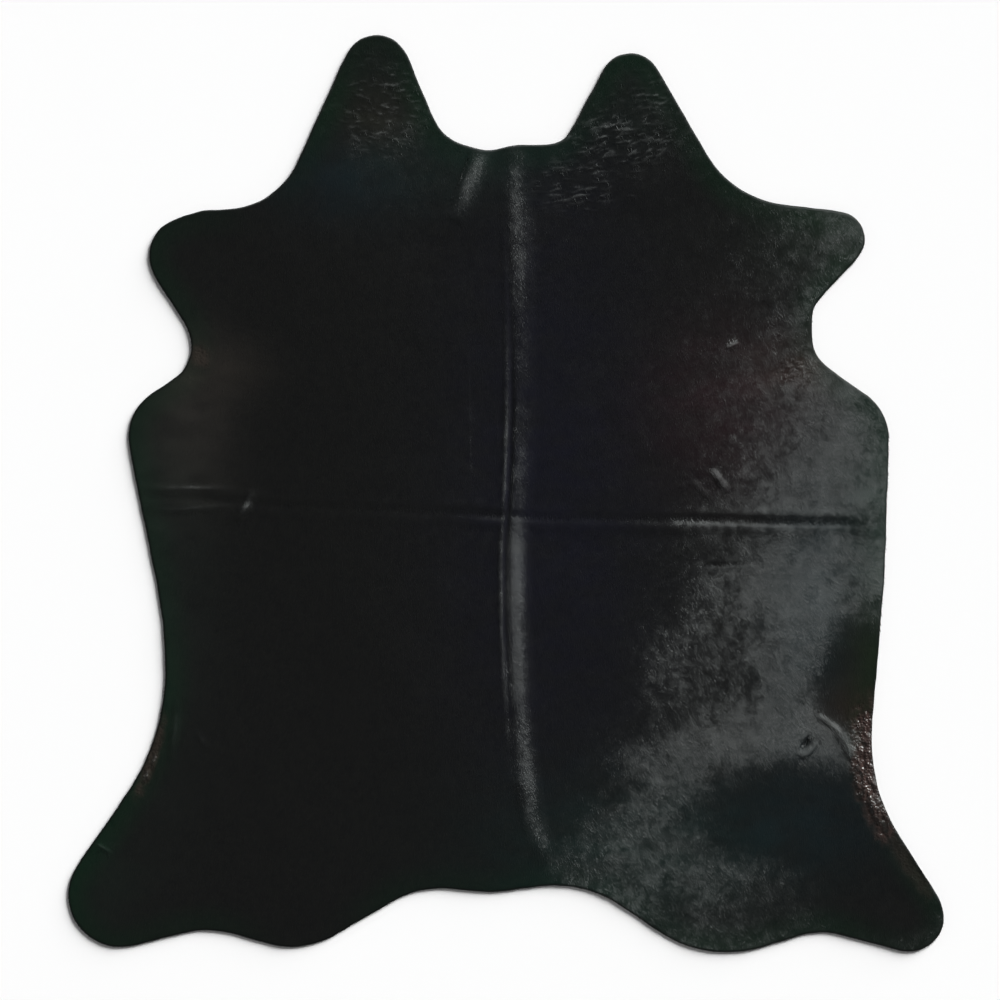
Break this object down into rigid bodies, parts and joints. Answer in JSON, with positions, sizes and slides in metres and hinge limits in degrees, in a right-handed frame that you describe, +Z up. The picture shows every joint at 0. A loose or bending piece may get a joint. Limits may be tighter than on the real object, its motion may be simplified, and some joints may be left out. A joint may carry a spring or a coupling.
{
  "type": "cowhide rug",
  "caption": "Full black hair-on cowhide rug lying flat, cut with neck, leg and rump lobes and marked by quarter-fold creases and skin folds, to cover a floor.",
  "frame": {"origin": "on the floor under the middle of the hide's outline", "axes": "+Y from rump to neck, +X to the right seen from above, +Z up from the floor to the hair side"},
  "size_m": [2.1028, 2.2028, 0.0095],
  "materials": {
    "hide": "black short hair lying flat, with a soft sheen"
  },
  "bodies": {
    "root": {"hide": "hide"}
  },
  "joints": []
}
